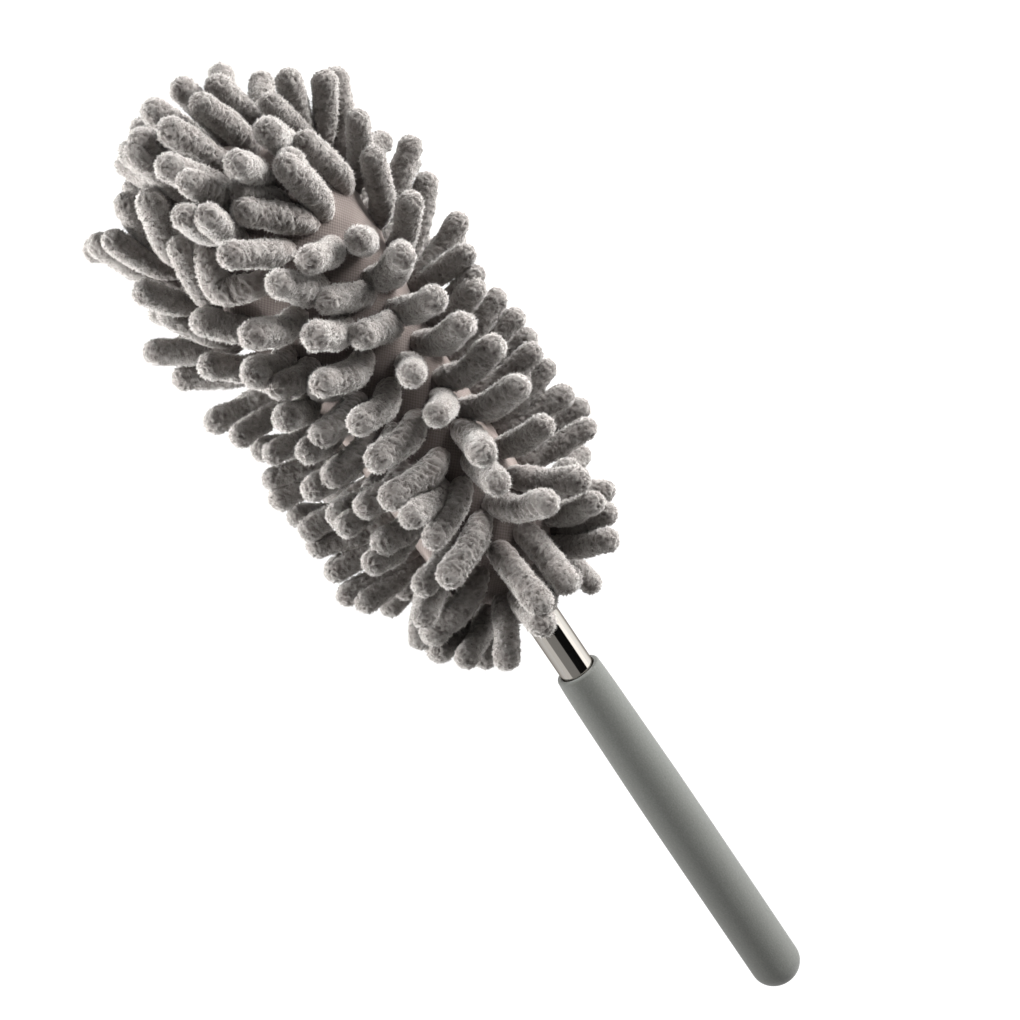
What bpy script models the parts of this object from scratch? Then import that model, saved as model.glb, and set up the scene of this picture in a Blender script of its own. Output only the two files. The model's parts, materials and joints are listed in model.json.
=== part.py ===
# Extendable duster: telescopic tube rod in a soft grip, with a bendable head in a
# sleeve of chenille fingers. Stored closed, lying on a table on the grip's end
# and on the lower fingers. Lengths below are millimetres along the rod (s, from
# the grip's end) and away from its axis (r). Every piece is a child of the empty
# "rod", whose local +Z runs along the rod and whose local -X points up from the
# table, and a moving piece has its origin on its joint's axis.
import math

import bmesh
import bpy
from mathutils import Matrix, Vector

# ------------------------------------------------------------------ constants
MM = 0.001
TILT = math.radians(8.0)          # the rod's rise from the table as it rests

SEG_TUBE = 24                     # sides of tubes and small round pieces
SEG_GRIP = 24
SEG_CORE = 24

# grip
GRIP_LEN = 112.0
GRIP_BORE_R = 4.8
GRIP_BORE_END = 6.0
GRIP_DOME = 6.2                   # length of the domed end
GRIP_R_END = 7.0
GRIP_R_LOW = 7.0
GRIP_R_MID = 6.95
GRIP_R_NECK = 6.45
GRIP_R_MOUTH = 5.98
GRIP_RIM = 0.7                    # rounding at the mouth

# telescopic stages: outer radius, wall, lower end, upper end
WALL = 0.3
STAGES = (
    ("rod_tube_1", 4.7, 7.0, 132.5),
    ("rod_tube_2", 4.0, 14.0, 133.7),
    ("rod_tube_3", 3.3, 16.0, 134.9),
    ("rod_tube_4", 2.6, 18.0, 136.1),
    ("rod_tube_5", 1.9, 20.0, 152.0),
)
LIP_LEN = 0.8
LIP_GAP = 0.1                     # lip to the next tube, radial
SLEEVE_LEN = 8.0
SLEEVE_UP = 1.0                   # above the tube's lower end
SLEEVE_GAP = 0.05
SLEEVE_SLIT = math.radians(16.0)

PLUG = (7.5, 11.0, 4.25)          # end plug in the outer tube: from, to, radius

# head socket, wire and foam core
SOCKET_BACK = 136.4
SOCKET_NECK_R = 6.5
SOCKET_FLANGE = (141.5, 144.0, 7.8)
SOCKET_NOSE_R = 6.0
SOCKET_FRONT = 160.0
SOCKET_TUBE_BORE = (152.4, 2.0)
SOCKET_WIRE_BORE = (154.0, 1.7)
WIRE = (154.4, 265.0, 1.6)
FOAM_BORE = 1.8
FOAM = (                          # outside of the foam: s, radius
    (161.0, 11.0), (162.5, 13.6), (165.0, 15.0), (205.0, 15.2), (225.0, 18.0),
    (240.0, 20.2), (250.0, 20.9), (257.0, 19.7), (261.0, 17.4), (263.0, 14.0),
)
CAP = (263.4, 267.0, 4.0, 1.75)   # cap on the wire's end: from, to, radius, bore

# sleeve
CLOTH = (                         # outside of the knitted sleeve: s, radius
    (140.0, 9.3), (152.0, 15.7), (160.0, 16.2), (205.0, 16.3), (225.0, 19.1),
    (240.0, 21.4), (250.0, 22.0),
)
CLOTH_DOME_LEN = 22.0
CLOTH_T = 0.8
CUFF = (134.0, 139.8, 7.9, 8.8)   # from, to, inner, outer radius
ELASTIC = (137.2, 139.2, 6.7, 7.6)

BAND_T = 0.8                      # strip that carries a row of fingers
BAND_GAP = 0.12
BAND_W = 5.0

# rows of fingers: name, s on the cloth, fingers, turned by half a step,
# direction from the radial towards the tip (degrees), length, finger radius,
# joint point that the row turns about
ROWS = (
    ("finger_row_01", 145.4, 12, 0, -30.0, 18.0, 3.4),
    ("finger_row_02", 156.4, 15, 1, -26.0, 17.5, 3.5),
    ("finger_row_03", 166.8, 15, 0, -10.0, 17.5, 3.5),
    ("finger_row_04", 177.2, 15, 1, -3.0, 18.0, 3.5),
    ("finger_row_05", 187.6, 15, 0, 0.0, 18.5, 3.5),
    ("finger_row_06", 198.0, 15, 1, 2.0, 18.5, 3.5),
    ("finger_row_07", 208.4, 15, 0, 4.0, 18.5, 3.5),
    ("finger_row_08", 218.8, 15, 1, 7.0, 18.0, 3.5),
    ("finger_row_09", 229.2, 15, 0, 10.0, 17.0, 3.5),
    ("finger_row_10", 239.6, 15, 1, 14.0, 16.0, 3.5),
    ("finger_row_11", 250.0, 15, 0, 24.0, 17.0, 3.5),
    ("finger_row_12", 259.6, 15, 1, 40.0, 19.0, 3.4),
    ("finger_row_13", 266.8, 11, 0, 56.0, 20.0, 3.3),
    ("finger_row_14", 270.9, 6, 1, 73.0, 19.5, 3.0),
)
TIP_FINGER = (272.4, 292.0, 2.9)  # base, end, radius
HINGES = (161.6, 182.4, 203.2, 224.0, 244.8)   # bending points of the core

COL_FINGER = (0.36, 0.345, 0.33, 1.0)
COL_CLOTH = (0.42, 0.36, 0.33, 1.0)
COL_GRIP = (0.27, 0.27, 0.26, 1.0)
COL_STEEL = (0.80, 0.80, 0.80, 1.0)
COL_PLASTIC = (0.08, 0.08, 0.08, 1.0)
COL_NYLON = (0.70, 0.69, 0.64, 1.0)
COL_FOAM = (0.75, 0.74, 0.70, 1.0)
COL_WIRE = (0.55, 0.55, 0.55, 1.0)

# ------------------------------------------------------------------ frame
def grip_profile():
    """(s, r) on the outside of the grip, from the end to the mouth."""
    pts = [(0.0, 0.0)]
    for k in range(1, 7):
        a = math.pi / 2 * k / 6
        pts.append((GRIP_DOME * (1 - math.cos(a)), GRIP_R_END * math.sin(a)))
    pts += [
        (30.0, GRIP_R_LOW),
        (60.0, GRIP_R_MID),
        (101.0, GRIP_R_NECK),
        (107.5, GRIP_R_NECK - 0.14),
        (GRIP_LEN - GRIP_RIM, GRIP_R_MOUTH + 0.12),
        (GRIP_LEN - 0.2, GRIP_R_MOUTH - 0.08),
        (GRIP_LEN, GRIP_R_MOUTH - 0.4),
    ]
    return pts


for old in list(bpy.data.objects):
    bpy.data.objects.remove(old, do_unlink=True)

# The rod's axis crosses s = 0 at this height, so that the grip's end and the
# table just touch.
AXIS_HEIGHT = max(r * math.cos(TILT) - s * math.sin(TILT) for s, r in grip_profile())

rod = bpy.data.objects.new("rod", None)
bpy.context.scene.collection.objects.link(rod)
rod.rotation_euler = (0.0, math.pi / 2 - TILT, 0.0)
rod.location = (0.0, 0.0, AXIS_HEIGHT * MM)
TO_WORLD = Matrix.Translation(rod.location) @ rod.rotation_euler.to_matrix().to_4x4()
TO_ROD = TO_WORLD.inverted()


def make_object(name, bm, colour, rough, metal, origin):
    """Turn a bmesh in the rod's frame into an object with its origin at s."""
    bmesh.ops.remove_doubles(bm, verts=bm.verts, dist=1e-7)
    bmesh.ops.recalc_face_normals(bm, faces=bm.faces)
    if bm.calc_volume(signed=True) < 0:
        bmesh.ops.reverse_faces(bm, faces=bm.faces)
    bmesh.ops.translate(bm, verts=bm.verts, vec=(0.0, 0.0, -origin * MM))
    mesh = bpy.data.meshes.new(name)
    bm.to_mesh(mesh)
    bm.free()
    mesh.shade_smooth()
    mesh.set_sharp_from_angle(angle=math.radians(45))
    obj = bpy.data.objects.new(name, mesh)
    bpy.context.scene.collection.objects.link(obj)
    obj.parent = rod
    obj.location = (0.0, 0.0, origin * MM)
    mat = bpy.data.materials.new(name)
    mat.use_nodes = True
    bsdf = mat.node_tree.nodes["Principled BSDF"]
    bsdf.inputs["Base Color"].default_value = colour
    bsdf.inputs["Roughness"].default_value = rough
    bsdf.inputs["Metallic"].default_value = metal
    mesh.materials.append(mat)
    return obj


def spun(loop, segs, arc=None):
    """Spin a profile of (s, r) points about the rod's axis. A profile with both
    ends on the axis makes a solid, any other is closed into a ring. With arc, a
    slit of that angle is left in the ring."""
    bm = bmesh.new()
    on_axis = loop[0][1] == 0.0 and loop[-1][1] == 0.0
    verts = [bm.verts.new((-r * MM, 0.0, s * MM)) for s, r in loop]
    edges = [bm.edges.new(pair) for pair in zip(verts[:-1], verts[1:])]
    if not on_axis:
        edges.append(bm.edges.new((verts[-1], verts[0])))
    if arc is None:
        bmesh.ops.spin(bm, geom=verts + edges, cent=(0, 0, 0), axis=(0, 0, 1), angle=2 * math.pi, steps=segs, use_merge=True)
    else:
        face = bm.faces.new(verts)
        bmesh.ops.rotate(bm, verts=verts, cent=(0, 0, 0), matrix=Matrix.Rotation(arc / 2, 3, "Z"))
        bmesh.ops.spin(bm, geom=[face], cent=(0, 0, 0), axis=(0, 0, 1), angle=2 * math.pi - arc, steps=segs)
    return bm


# ------------------------------------------------------------------ grip, rod
def build_grip():
    inner = [
        (GRIP_LEN, GRIP_BORE_R + 0.1),
        (GRIP_LEN - 0.4, GRIP_BORE_R),
        (GRIP_BORE_END, GRIP_BORE_R),
        (GRIP_BORE_END, 0.0),
    ]
    make_object("grip_sleeve", spun(grip_profile() + inner, SEG_GRIP), COL_GRIP, 0.65, 0.0, 0.0)


def build_tubes():
    for i, (name, ro, low, high) in enumerate(STAGES):
        ri = ro - WALL
        if i < len(STAGES) - 1:
            lip = STAGES[i + 1][1] + LIP_GAP
            loop = [
                (low, ro), (high - 0.5, ro), (high, ro - 0.25), (high, lip + 0.05),
                (high - 0.3, lip), (high - LIP_LEN, lip), (high - LIP_LEN - 0.3, ri), (low, ri),
            ]
        else:
            loop = [(low, ro), (high, ro), (high, ri), (low, ri)]
        make_object(name, spun(loop, SEG_TUBE), COL_STEEL, 0.12, 1.0, low)
        if i:
            bore = STAGES[i - 1][1] - WALL
            a, b = low + SLEEVE_UP, low + SLEEVE_UP + SLEEVE_LEN
            loop = [
                (a, ro + SLEEVE_GAP), (a, bore - SLEEVE_GAP),
                (b, bore - SLEEVE_GAP), (b, ro + SLEEVE_GAP),
            ]
            make_object("friction_sleeve_%d" % (i + 1), spun(loop, SEG_TUBE, SLEEVE_SLIT), COL_NYLON, 0.5, 0.0, a)
    a, b, r = PLUG
    loop = [(a, 0.0), (a, r - 0.3), (a + 0.3, r), (b - 0.3, r), (b, r - 0.3), (b, 0.0)]
    make_object("tube_end_plug", spun(loop, SEG_TUBE), COL_PLASTIC, 0.5, 0.0, a)


# ------------------------------------------------------------------ head core
def build_core():
    fa, fb, fr = SOCKET_FLANGE
    tb, tr = SOCKET_TUBE_BORE
    wb, wr = SOCKET_WIRE_BORE
    # the tube's bore and the wire's bore are two blind holes, one from each end
    loop = [
        (tb, 0.0), (tb, tr), (SOCKET_BACK + 0.4, tr),
        (SOCKET_BACK, tr + 0.3), (SOCKET_BACK, SOCKET_NECK_R - 0.6), (SOCKET_BACK + 0.6, SOCKET_NECK_R),
        (fa, SOCKET_NECK_R), (fa, fr), (fb, fr), (fb + 1.5, SOCKET_NOSE_R),
        (SOCKET_FRONT - 1.0, SOCKET_NOSE_R), (SOCKET_FRONT, SOCKET_NOSE_R - 1.0),
        (SOCKET_FRONT, wr), (wb, wr), (wb, 0.0),
    ]
    make_object("head_socket", spun(loop, SEG_TUBE), COL_PLASTIC, 0.5, 0.0, SOCKET_BACK)

    a, b, r = WIRE
    loop = [(a, 0.0), (a, r), (b - 0.5, r), (b, r - 0.5), (b, 0.0)]
    make_object("core_wire", spun(loop, 16), COL_WIRE, 0.35, 1.0, HINGES[0])

    loop = [(FOAM[0][0], FOAM_BORE)] + list(FOAM) + [(FOAM[-1][0], FOAM_BORE)]
    make_object("core_foam", spun(loop, SEG_CORE), COL_FOAM, 0.9, 0.0, HINGES[0])

    a, b, r, bore = CAP
    loop = [
        (WIRE[1] + 0.3, 0.0), (WIRE[1] + 0.3, bore), (a, bore), (a, r - 0.4), (a + 0.4, r),
        (b - 1.5, r), (b - 0.4, r - 1.0), (b, r - 2.4), (b, 0.0),
    ]
    make_object("wire_tip_cap", spun(loop, 16), COL_PLASTIC, 0.5, 0.0, HINGES[-1])


# ------------------------------------------------------------------ sleeve
def cloth_outside(s):
    """Radius of the cloth's outside at s, and its slope angle there."""
    top, r_top = CLOTH[-1]
    if s < top:
        for (s0, r0), (s1, r1) in zip(CLOTH[:-1], CLOTH[1:]):
            if s <= s1:
                return r0 + (r1 - r0) * (s - s0) / (s1 - s0), math.atan2(r1 - r0, s1 - s0)
    ang = math.asin(min(1.0, (s - top) / CLOTH_DOME_LEN))
    return r_top * math.cos(ang), -math.atan2(r_top * math.sin(ang), CLOTH_DOME_LEN * math.cos(ang))


def build_cloth():
    top, r_top = CLOTH[-1]
    outer, inner = [], []
    for k in range(7):
        a = math.pi / 2 * (1 - k / 6)
        outer.append((top + CLOTH_DOME_LEN * math.sin(a), r_top * math.cos(a) if k else 0.0))
        inner.append((top + (CLOTH_DOME_LEN - CLOTH_T) * math.sin(a), (r_top - CLOTH_T) * math.cos(a) if k else 0.0))
    outer += list(CLOTH[-2::-1])
    inner += [(s, r - CLOTH_T) for s, r in CLOTH[-2::-1]]
    make_object("sleeve_cloth", spun(outer + inner[::-1], SEG_CORE), COL_CLOTH, 0.95, 0.0, HINGES[0])
    a, b, ri, ro = CUFF
    loop = [(a, ri), (a, ro - 0.3), (a + 0.3, ro), (b - 0.3, ro), (b, ro - 0.3), (b, ri)]
    make_object("sleeve_cuff", spun(loop, SEG_CORE), COL_CLOTH, 0.9, 0.0, a)
    a, b, ri, ro = ELASTIC
    make_object("cuff_elastic", spun([(a, ri), (a, ro), (b, ro), (b, ri)], SEG_CORE), COL_PLASTIC, 0.7, 0.0, a)


def pressed_length(base, d, length, radius):
    """Length of a finger whose round tip is pressed a little on the table."""
    while length > 8.0 and (TO_WORLD @ ((base + d * (length - radius)) * MM)).z < radius * 0.72 * MM:
        length -= 0.25
    return length


def build_row(name, s, count, half, lean, length, radius, origin):
    """A strip around the sleeve with its fingers. The strip is spun in three
    columns for each finger, and the finger is extruded from two of them."""
    rc, slope = cloth_outside(s)
    curved = s > CLOTH[-1][0]
    lift = BAND_GAP + (0.45 if curved else 0.0)
    w = BAND_W / 2 * (0.86 if curved else 1.0)
    along = Vector((math.cos(slope), math.sin(slope)))       # (s, r) across the strip
    out = Vector((-math.sin(slope), math.cos(slope)))        # (s, r) off the cloth
    centre = Vector((s, rc))
    loop = [centre + along * u + out * v for u, v in ((-w, lift), (w, lift), (w, lift + BAND_T), (-w, lift + BAND_T))]
    cols = 3 * count
    bm = spun([(p.x, p.y) for p in loop], cols)
    bmesh.ops.remove_doubles(bm, verts=bm.verts, dist=1e-7)
    # turn the strip so that every root's middle edge lies at its finger's angle
    step = 2 * math.pi / count
    bmesh.ops.rotate(bm, verts=bm.verts, cent=(0, 0, 0), matrix=Matrix.Rotation(step / 2 if half else 0.0, 3, "Z"))
    mid = centre + out * (lift + BAND_T)
    g = math.radians(lean)
    roots = []
    for k in range(count):
        phi = step * (k + (0.5 if half else 0.0))
        radial = Vector((-math.cos(phi), -math.sin(phi), 0.0))
        around = Vector((math.sin(phi), -math.cos(phi), 0.0))
        pair = []
        for f in bm.faces:
            c = f.calc_center_median() / MM
            off = math.hypot(c.x, c.y) - math.hypot(mid.y, 0.0)
            if abs(c.z - mid.x) < w * 0.2 and abs(off) < BAND_T * 0.4 and c.dot(radial) > 0 and abs(c.dot(around)) < mid.y * step * 0.30:
                pair.append(f)
        roots.append((pair, radial, around))
    for pair, radial, around in roots:
        base = radial * mid.y + Vector((0, 0, mid.x))
        d = radial * math.cos(g) + Vector((0, 0, math.sin(g)))
        cross = Vector((0, 0, math.cos(g))) - radial * math.sin(g)
        tall = pressed_length(base, d, length, radius)
        # each root corner keeps its place around the finger
        def slot(v):
            p = v.co / MM - base
            x = p.dot(around)
            side = 0 if abs(x) < 0.2 * w else (1 if x > 0 else -1)
            front = 1 if p.dot(Vector((0, 0, 1)) * along.x + radial * along.y) > 0 else -1
            return math.radians(front * (90 - 60 * side))
        angles = {}
        faces = pair
        first = True
        for h, rad in ((tall - radius, radius), (tall - radius * 0.28, radius * 0.69)):
            before = {v: slot(v) for f in faces for v in f.verts} if first else dict(angles)
            first = False
            where = {tuple(round(c, 9) for c in v.co): a for v, a in before.items()}
            grown = bmesh.ops.extrude_face_region(bm, geom=faces)["geom"]
            bmesh.ops.delete(bm, geom=[f for f in faces if f.is_valid], context="FACES")
            new = [v for v in grown if isinstance(v, bmesh.types.BMVert)]
            angles = {v: where[tuple(round(c, 9) for c in v.co)] for v in new}
            for v, a in angles.items():
                v.co = (base + d * h + around * (rad * math.cos(a)) + cross * (rad * math.sin(a))) * MM
            faces = [f for f in grown if isinstance(f, bmesh.types.BMFace)]
        cap = bmesh.ops.dissolve_faces(bm, faces=faces)["region"]
        peak = bmesh.ops.poke(bm, faces=cap)["verts"][0]
        peak.co = (base + d * tall) * MM
    for v in bm.verts:                                        # nothing goes into the table
        p = TO_WORLD @ v.co
        if p.z < 0.0:
            v.co = TO_ROD @ Vector((p.x, p.y, 0.0))
    make_object(name, bm, COL_FINGER, 0.95, 0.0, origin)


def build_rows():
    for name, s, count, half, lean, length, radius in ROWS:
        below = [h for h in HINGES if h < s]
        build_row(name, s, count, half, lean, length, radius, below[-1] if below else SOCKET_BACK)
    a, b, r = TIP_FINGER
    loop = [
        (a, 0.0), (a, 1.5), (a + 0.8, 1.7), (a + 5.0, r * 0.95), (a + 9.0, r), (b - r, r * 0.98),
        (b - r * 0.4, r * 0.80), (b - r * 0.08, r * 0.42), (b, 0.0),
    ]
    make_object("finger_tip", spun(loop, 10), COL_FINGER, 0.95, 0.0, HINGES[-1])


build_grip()
build_tubes()
build_core()
build_cloth()
build_rows()

# centre the object's box over the origin
bpy.context.view_layer.update()
xs = [(o.matrix_world @ v.co).x for o in bpy.data.objects if o.type == "MESH" for v in o.data.vertices]
rod.location.x = -(min(xs) + max(xs)) / 2
bpy.context.view_layer.update()
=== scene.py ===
"""Extendable duster: looks. In rod coordinates, in millimetres, s runs along the rod from
the grip's end, u is away from the axis towards the upper side and v towards +Y. The angle
phi round the rod runs from the upper side towards +Y."""

import json
import math

import bmesh
import bpy
import numpy as np
from mathutils import Matrix, Vector

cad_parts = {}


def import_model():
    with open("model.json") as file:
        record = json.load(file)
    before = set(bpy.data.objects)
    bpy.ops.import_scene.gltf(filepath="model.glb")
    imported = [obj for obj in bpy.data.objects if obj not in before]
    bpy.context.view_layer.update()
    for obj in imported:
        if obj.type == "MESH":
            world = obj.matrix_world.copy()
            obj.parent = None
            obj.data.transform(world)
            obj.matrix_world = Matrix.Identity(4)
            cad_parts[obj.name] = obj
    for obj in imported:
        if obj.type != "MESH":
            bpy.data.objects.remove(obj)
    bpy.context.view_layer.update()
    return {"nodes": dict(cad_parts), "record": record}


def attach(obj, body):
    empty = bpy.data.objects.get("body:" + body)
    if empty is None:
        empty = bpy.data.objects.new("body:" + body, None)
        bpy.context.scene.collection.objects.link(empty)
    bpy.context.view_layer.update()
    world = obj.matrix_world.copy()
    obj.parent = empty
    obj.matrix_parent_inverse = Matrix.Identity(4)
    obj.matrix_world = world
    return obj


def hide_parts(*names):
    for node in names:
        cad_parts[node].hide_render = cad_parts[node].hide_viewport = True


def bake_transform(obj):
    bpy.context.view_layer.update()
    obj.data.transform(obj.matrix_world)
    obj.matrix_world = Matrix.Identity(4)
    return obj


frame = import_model()

# ------------------------------------------------------------------ frame
MM = 0.001
TILT = math.radians(8.0)
AX = np.array([math.cos(TILT), 0.0, math.sin(TILT)])
UP = np.array([-math.sin(TILT), 0.0, math.cos(TILT)])
SIDE = np.array([0.0, 1.0, 0.0])
P0 = np.array([-0.14477134, 0.0, 0.0060690])          # the rod's axis at s = 0


def world(p):
    """Rod coordinates in millimetres to the row frame in metres."""
    p = np.asarray(p, float)
    return P0 + MM * (p[..., 0:1] * AX + p[..., 1:2] * UP + p[..., 2:3] * SIDE)


def rod(p):
    """The row frame in metres to rod coordinates in millimetres."""
    q = (np.asarray(p, float) - P0) / MM
    return np.stack([q @ AX, q @ UP, q @ SIDE], -1)


# ------------------------------------------------------------------ camera
VIEW_TILT = math.radians(20.1)        # how far the view is off square, towards the head
VIEW_DIST = 560.0
FOCAL_PX = 2238.0                     # for an image 1020 pixels wide
cam_o = np.array([math.sin(VIEW_TILT), math.cos(VIEW_TILT), 0.0])
cam_e = np.array([math.cos(VIEW_TILT), -math.sin(VIEW_TILT), 0.0])
cam_l = np.array([0.0, 0.0, -1.0])
a2 = np.array([-0.5557, 0.8314])
a2 = a2 / np.linalg.norm(a2)
cam_x = a2[0] * cam_e + a2[1] * cam_l
cam_y = a2[1] * cam_e - a2[0] * cam_l
cam_c = np.array([158.187, 0.0, 0.0]) + VIEW_DIST * cam_o + 8.501 * cam_l - 0.21 * cam_x + 0.14 * cam_y


def to_world_dir(d):
    return d[0] * AX + d[1] * UP + d[2] * SIDE


cam_data = bpy.data.cameras.new("camera")
cam_data.sensor_width = 36.0
cam_data.lens = 36.0 * FOCAL_PX / 1020.0
cam_data.clip_start = 0.01
cam_data.clip_end = 50.0
camera = bpy.data.objects.new("camera", cam_data)
bpy.context.scene.collection.objects.link(camera)
cam_rot = Matrix([to_world_dir(cam_x), to_world_dir(cam_y), to_world_dir(cam_o)]).transposed()
camera.matrix_world = Matrix.Translation(Vector(world(cam_c))) @ cam_rot.to_4x4()
bpy.context.scene.camera = camera


def project(p):
    """Rod coordinates to pixels of the 1020 by 1020 image."""
    q = np.asarray(p, float) - cam_c
    d = -(q @ cam_o)
    return np.stack([510 + FOCAL_PX * (q @ cam_x) / d, 510 - FOCAL_PX * (q @ cam_y) / d], -1)


def pixel_ray(px):
    v = np.array([(px[0] - 510) / FOCAL_PX, -(px[1] - 510) / FOCAL_PX, -1.0])
    d = v[0] * cam_x + v[1] * cam_y + v[2] * cam_o
    return d / np.linalg.norm(d)


# ------------------------------------------------------------------ noise
def gradient_noise(p, seed):
    """Gradient noise of points (n, 3), about -0.7 to 0.7."""
    base = np.floor(p)
    f = p - base
    i = base.astype(np.int64)
    w = f * f * f * (f * (f * 6 - 15) + 10)
    total = np.zeros(len(p))
    for dx in (0, 1):
        for dy in (0, 1):
            for dz in (0, 1):
                h = (
                    (i[:, 0] + dx) * 374761393
                    + (i[:, 1] + dy) * 668265263
                    + (i[:, 2] + dz) * 1442695041
                    + seed * 974634777
                ) & 0xFFFFFFFF
                h = ((h ^ (h >> 13)) * 1274126177) & 0xFFFFFFFF
                h = ((h ^ (h >> 16)) * 2246822519) & 0xFFFFFFFF
                h = h ^ (h >> 15)
                g = np.stack([(h & 1023), (h >> 10) & 1023, (h >> 20) & 1023], -1) / 511.5 - 1.0
                d = np.stack([f[:, 0] - dx, f[:, 1] - dy, f[:, 2] - dz], -1)
                wx = w[:, 0] if dx else 1 - w[:, 0]
                wy = w[:, 1] if dy else 1 - w[:, 1]
                wz = w[:, 2] if dz else 1 - w[:, 2]
                total += wx * wy * wz * (g * d).sum(-1)
    return total


def smooth(t):
    t = np.clip(t, 0.0, 1.0)
    return t * t * (3 - 2 * t)


# ------------------------------------------------------------------ node help
def new_material(name):
    mat = bpy.data.materials.new(name)
    mat.use_nodes = True
    nt = mat.node_tree
    return mat, nt, nt.nodes["Principled BSDF"]


def add(nt, kind, **props):
    n = nt.nodes.new(kind)
    for k, v in props.items():
        setattr(n, k, v)
    return n


def noise_node(nt, coords, scale, detail=3.0, rough=0.55):
    n = add(nt, "ShaderNodeTexNoise")
    n.inputs["Scale"].default_value = scale
    n.inputs["Detail"].default_value = detail
    n.inputs["Roughness"].default_value = rough
    nt.links.new(coords, n.inputs["Vector"])
    return n.outputs["Fac"]


def ramp(nt, fac, stops):
    n = add(nt, "ShaderNodeValToRGB")
    while len(n.color_ramp.elements) < len(stops):
        n.color_ramp.elements.new(0.5)
    for e, (pos, col) in zip(n.color_ramp.elements, stops):
        e.position = pos
        e.color = (*col, 1.0) if len(col) == 3 else col
    nt.links.new(fac, n.inputs["Fac"])
    return n.outputs["Color"]


def maths(nt, op, a, b=None, clamp=False):
    n = add(nt, "ShaderNodeMath", operation=op, use_clamp=clamp)
    for k, v in enumerate((a, b)):
        if v is None:
            continue
        if isinstance(v, (int, float)):
            n.inputs[k].default_value = v
        else:
            nt.links.new(v, n.inputs[k])
    return n.outputs[0]


def mix_colour(nt, fac, a, b, blend="MIX"):
    n = add(nt, "ShaderNodeMix", data_type="RGBA", blend_type=blend)
    for sock, v in ((n.inputs[0], fac), (n.inputs[6], a), (n.inputs[7], b)):
        if isinstance(v, (int, float)):
            sock.default_value = v
        elif isinstance(v, tuple):
            sock.default_value = (*v, 1.0)
        else:
            nt.links.new(v, sock)
    return n.outputs[2]


def bump(nt, bsdf, height, strength, distance):
    n = add(nt, "ShaderNodeBump")
    n.inputs["Strength"].default_value = strength
    n.inputs["Distance"].default_value = distance
    nt.links.new(height, n.inputs["Height"])
    nt.links.new(n.outputs["Normal"], bsdf.inputs["Normal"])
    return n


def object_coords(nt):
    return add(nt, "ShaderNodeTexCoord").outputs["Object"]


# ------------------------------------------------------------------ materials
def chenille_material():
    mat, nt, bsdf = new_material("chenille")
    oc = object_coords(nt)
    ridge_and_painted_shade = add(nt, "ShaderNodeAttribute", attribute_name="ridge_and_painted_shade").outputs["Fac"]
    along = add(nt, "ShaderNodeAttribute", attribute_name="along").outputs["Fac"]
    fine = noise_node(nt, oc, 1900.0, 3.0, 0.6)
    patch = noise_node(nt, oc, 260.0, 2.0, 0.5)
    # Painted shade and highlight: the pile colour is darker where the finger's surface sinks between folds and knobs
    # and lighter on their ridges. The fine noise is random tone.
    level = maths(nt, "ADD", maths(nt, "MULTIPLY", ridge_and_painted_shade, 0.72), maths(nt, "MULTIPLY", fine, 0.42))
    pile = ramp(nt, level, [(0.15, (0.072, 0.059, 0.056)), (0.50, (0.173, 0.159, 0.151)), (0.80, (0.243, 0.231, 0.222)), (1.0, (0.28, 0.269, 0.260))])
    tint = ramp(nt, patch, [(0.30, (0.93, 0.90, 0.885)), (0.65, (1.0, 1.0, 0.985))])
    pile = mix_colour(nt, 1.0, pile, tint, "MULTIPLY")
    # Painted shade: the pile darkens towards each finger's root, where it meets the sleeve between the other fingers.
    root = ramp(nt, along, [(0.02, (0.66, 0.60, 0.585)), (0.42, (1.0, 1.0, 1.0))])
    pile = mix_colour(nt, 1.0, pile, root, "MULTIPLY")
    # Painted rim light: the pile colour grows lighter where the surface is seen edge-on, standing in for sheen.
    facing = add(nt, "ShaderNodeLayerWeight")
    facing.inputs["Blend"].default_value = 0.5
    painted_rim_light = maths(nt, "ADD", maths(nt, "MULTIPLY", maths(nt, "POWER", facing.outputs["Facing"], 2.0), 1.40), 0.84)
    pile = mix_colour(nt, 1.0, pile, painted_rim_light, "MULTIPLY")
    nt.links.new(pile, bsdf.inputs["Base Color"])
    bsdf.inputs["Roughness"].default_value = 1.0
    bsdf.inputs["Specular IOR Level"].default_value = 0.1
    bsdf.inputs["Sheen Weight"].default_value = 0.75
    bsdf.inputs["Sheen Roughness"].default_value = 0.5
    bsdf.inputs["Sheen Tint"].default_value = (1.0, 0.985, 0.96, 1.0)
    fuzz = maths(nt, "ADD", noise_node(nt, oc, 1500.0, 4.0, 0.7), maths(nt, "MULTIPLY", noise_node(nt, oc, 4200.0, 2.0, 0.6), 0.5))
    bump(nt, bsdf, fuzz, 0.55, 0.00035)
    return mat


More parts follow.
